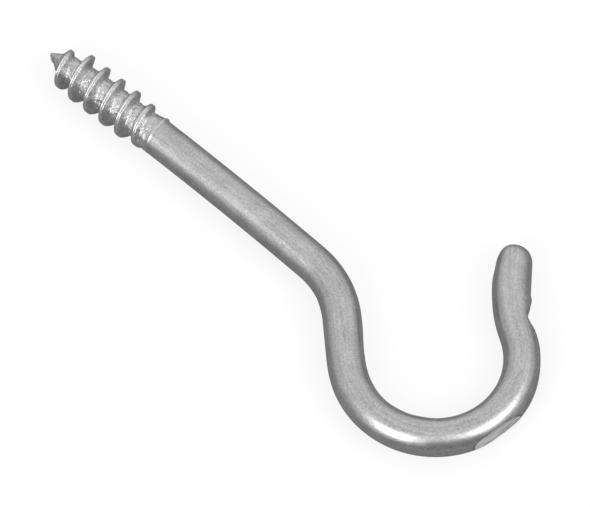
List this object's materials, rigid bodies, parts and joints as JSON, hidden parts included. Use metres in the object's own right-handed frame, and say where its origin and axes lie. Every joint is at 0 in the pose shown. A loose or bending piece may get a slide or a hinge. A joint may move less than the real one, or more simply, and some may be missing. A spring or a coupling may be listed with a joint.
{
  "type": "screw hook",
  "caption": "Screw hook bent from round zinc-plated steel wire: pointed coarse wood thread, straight shank and an open bowl with a turned-out round tip, for hanging things.",
  "frame": {"origin": "on the shank's axis at the shoulder, where the thread ends and the plain wire begins", "axes": "+X along the shank from the screw's point towards the hook, +Y in the plane of the bend towards the open mouth, +Z square to the plane of the bend; the hook lies flat on its side"},
  "size_m": [0.0807, 0.0334, 0.0064],
  "materials": {
    "zinc_plated_steel": "satin zinc plating over drawn wire, with fine lengthwise drawing marks"
  },
  "bodies": {
    "root": {"screw_hook": "zinc_plated_steel"}
  },
  "joints": []
}
